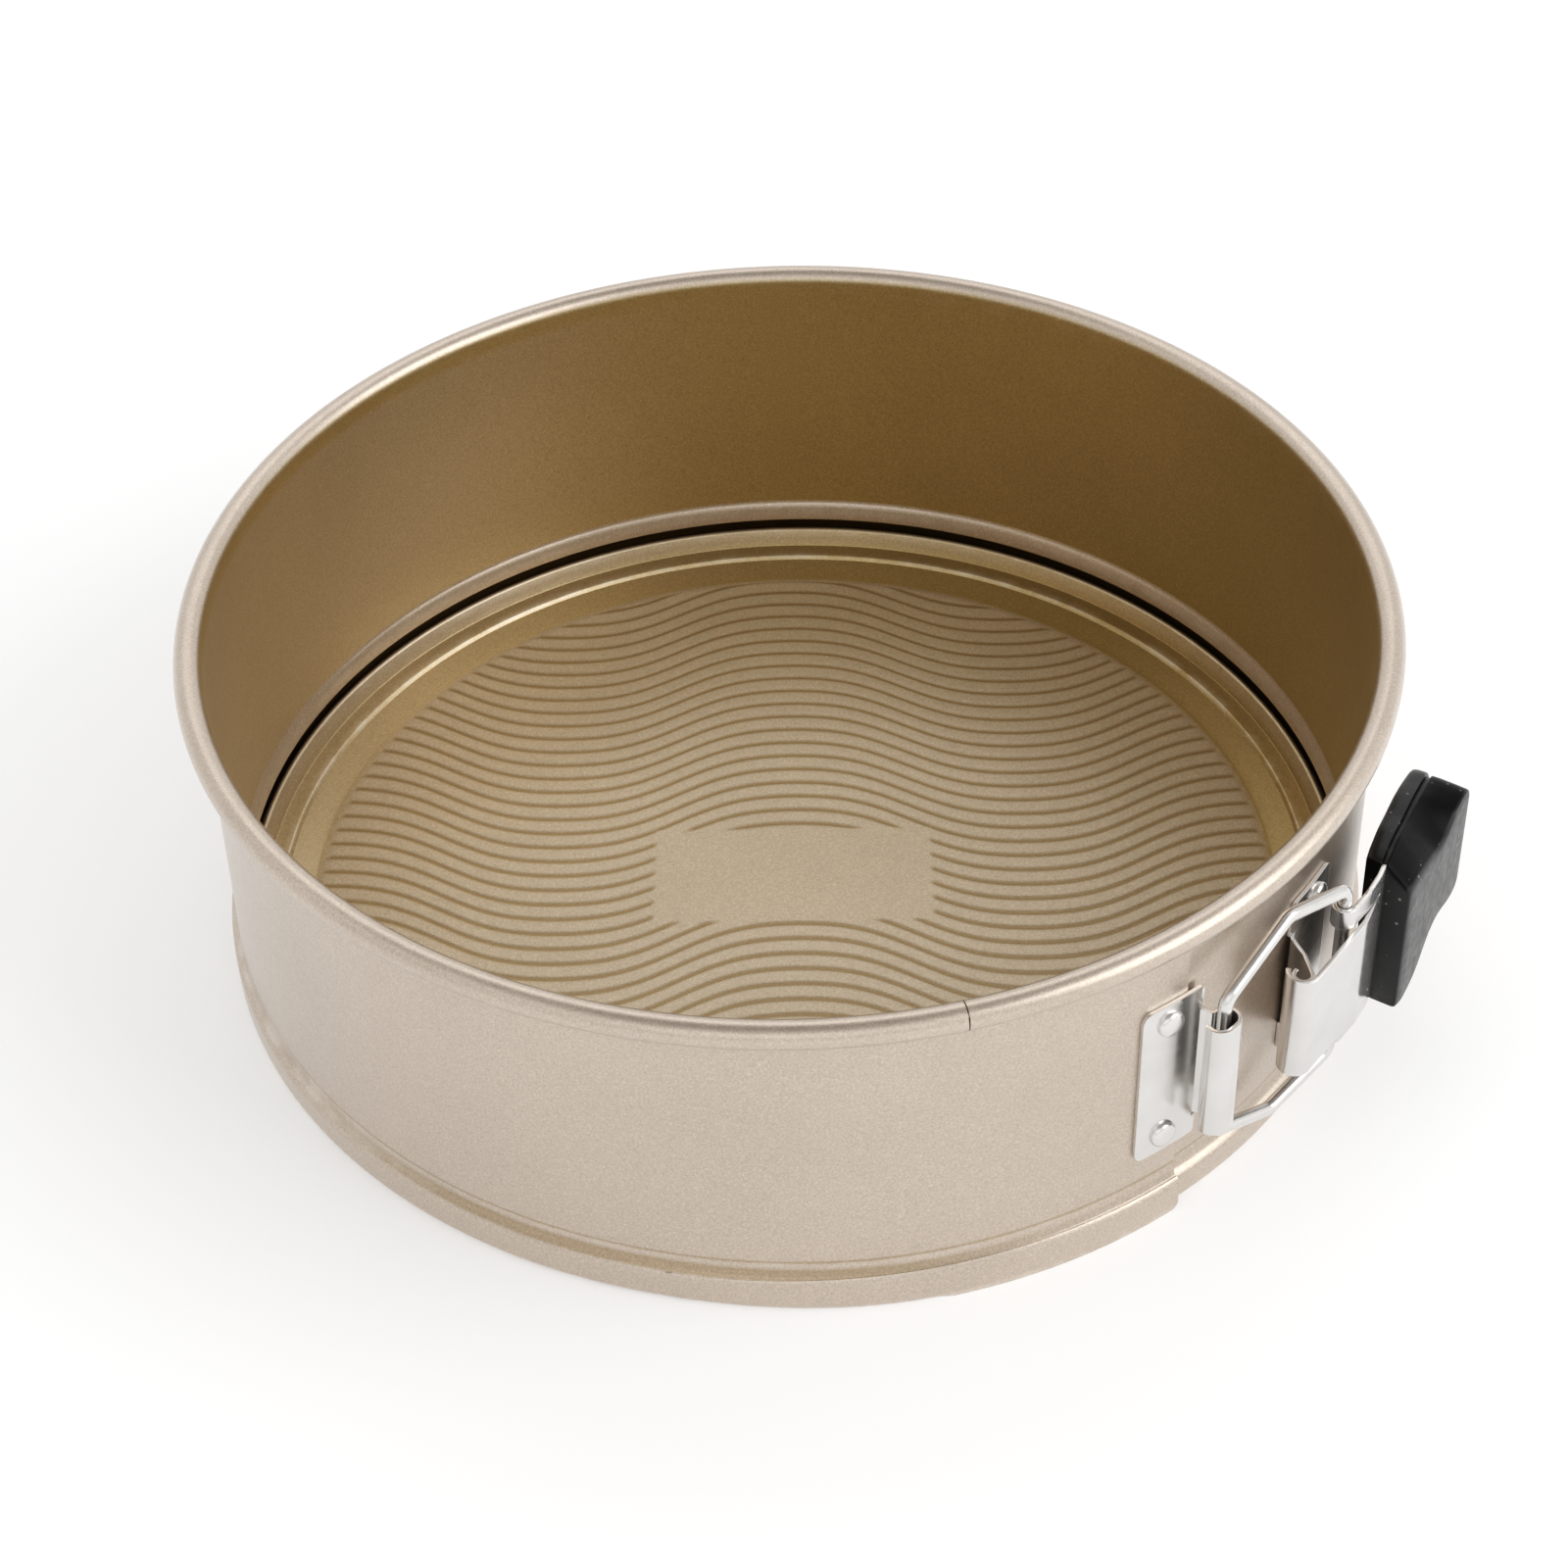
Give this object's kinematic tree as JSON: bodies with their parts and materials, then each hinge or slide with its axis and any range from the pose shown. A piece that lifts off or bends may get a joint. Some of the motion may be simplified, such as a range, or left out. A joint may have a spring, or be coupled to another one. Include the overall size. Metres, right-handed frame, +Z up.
{
  "type": "springform pan",
  "caption": "Round springform baking pan with a coated steel side band, toggle latch with wire bail and black grip, and a drop-in base plate.",
  "frame": {"origin": "on the pan's axis at the underside of the base plate, level with the bottom of the side band", "axes": "+Z up along the pan's axis; the latch is on the +X, -Y side of the band, the grip points to +X"},
  "size_m": [0.2515, 0.24, 0.075],
  "materials": {
    "band_coating": "fine metallic champagne non-stick coating, satin",
    "base_coating": "fine metallic golden non-stick coating, satin",
    "bright_nickel": "bright nickel-plated steel",
    "grip_rubber": "matt black silicone"
  },
  "bodies": {
    "ring_right": {"side_band_right": "band_coating", "lever_bracket": "bright_nickel", "lever_bracket_rivets": "bright_nickel"},
    "ring_left": {"side_band_left": "band_coating", "bail_bracket": "bright_nickel", "bail_bracket_rivets": "bright_nickel"},
    "lever": {"lever_plate": "bright_nickel", "lever_grip": "grip_rubber"},
    "bail": {"wire_bail": "bright_nickel"},
    "base": {"base_plate": "base_coating"}
  },
  "joints": [
    {"name": "lever_hinge", "type": "hinge", "parent": "ring_right", "child": "lever", "pos_m": [0.09249, -0.08174, 0.037], "axis": [0, 0, -1], "range_deg": [0, 75]},
    {"name": "bail_pivot", "type": "hinge", "parent": "lever", "child": "bail", "pos_m": [0.10133, -0.06951, 0.037], "axis": [0, 0, -1], "range_deg": [-47, 0]},
    {"name": "ring_flex", "type": "hinge", "parent": "ring_right", "child": "ring_left", "pos_m": [-0.06889, 0.09208, 0.037], "axis": [0, 0, -1], "range_deg": [0, 0.9]},
    {"name": "base_lift", "type": "slide", "parent": "ring_right", "child": "base", "axis": [0, 0, 1], "range_m": [0, 0.09]}
  ],
  "couplings": [
    {"joint": "bail_pivot", "follows": "lever_hinge", "ratio": -0.615},
    {"joint": "ring_flex", "follows": "lever_hinge", "ratio": 0.0115}
  ]
}
